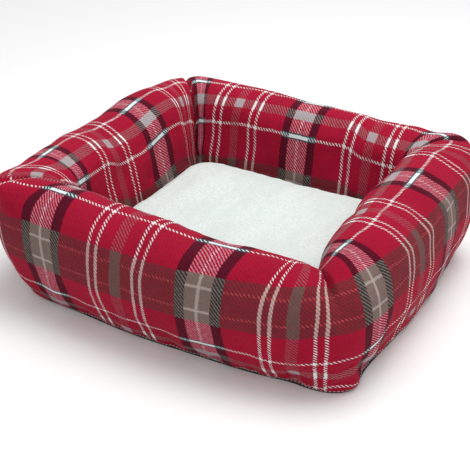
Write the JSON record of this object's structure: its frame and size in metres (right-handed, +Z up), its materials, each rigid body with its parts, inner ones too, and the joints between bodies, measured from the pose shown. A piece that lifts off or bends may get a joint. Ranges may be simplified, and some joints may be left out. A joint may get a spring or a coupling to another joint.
{
  "type": "pet cushion bed",
  "caption": "Rectangular bolster pet bed: stuffed tartan fleece walls round a padded well, with a loose crowned sherpa cushion that lifts out.",
  "frame": {"origin": "on the underside, below the middle of the overall outline", "axes": "+X along the front wall towards its right end, +Y from the front wall to the rear wall, +Z up"},
  "size_m": [0.5076, 0.4449, 0.174],
  "materials": {
    "tartan_fleece": "red tartan printed fleece, short soft nap",
    "sherpa_fleece": "off-white sherpa fleece, fine curly pile",
    "fibre_fill": "white polyester fibre fill",
    "base_fabric": "plain dark woven base fabric",
    "lining_fabric": "plain light non-woven lining",
    "thread": "polyester sewing thread"
  },
  "bodies": {
    "bed": {"base_panel": "base_fabric", "base_pad": "fibre_fill", "base_lining": "lining_fabric", "base_seam": "thread", "front_bolster_cover": "tartan_fleece", "right_bolster_cover": "tartan_fleece", "rear_bolster_cover": "tartan_fleece", "left_bolster_cover": "tartan_fleece", "front_bolster_fill": "fibre_fill", "right_bolster_fill": "fibre_fill", "rear_bolster_fill": "fibre_fill", "left_bolster_fill": "fibre_fill", "corner_seam_front_left": "thread", "corner_seam_front_right": "thread", "corner_seam_rear_right": "thread", "corner_seam_rear_left": "thread"},
    "cushion": {"cushion_top_cover": "sherpa_fleece", "cushion_bottom_cover": "sherpa_fleece", "cushion_fill": "fibre_fill", "cushion_edge_seam": "thread"}
  },
  "joints": [
    {"name": "cushion_lift", "type": "slide", "parent": "bed", "child": "cushion", "axis": [0, 0, 1], "range_m": [0, 0.18]}
  ]
}
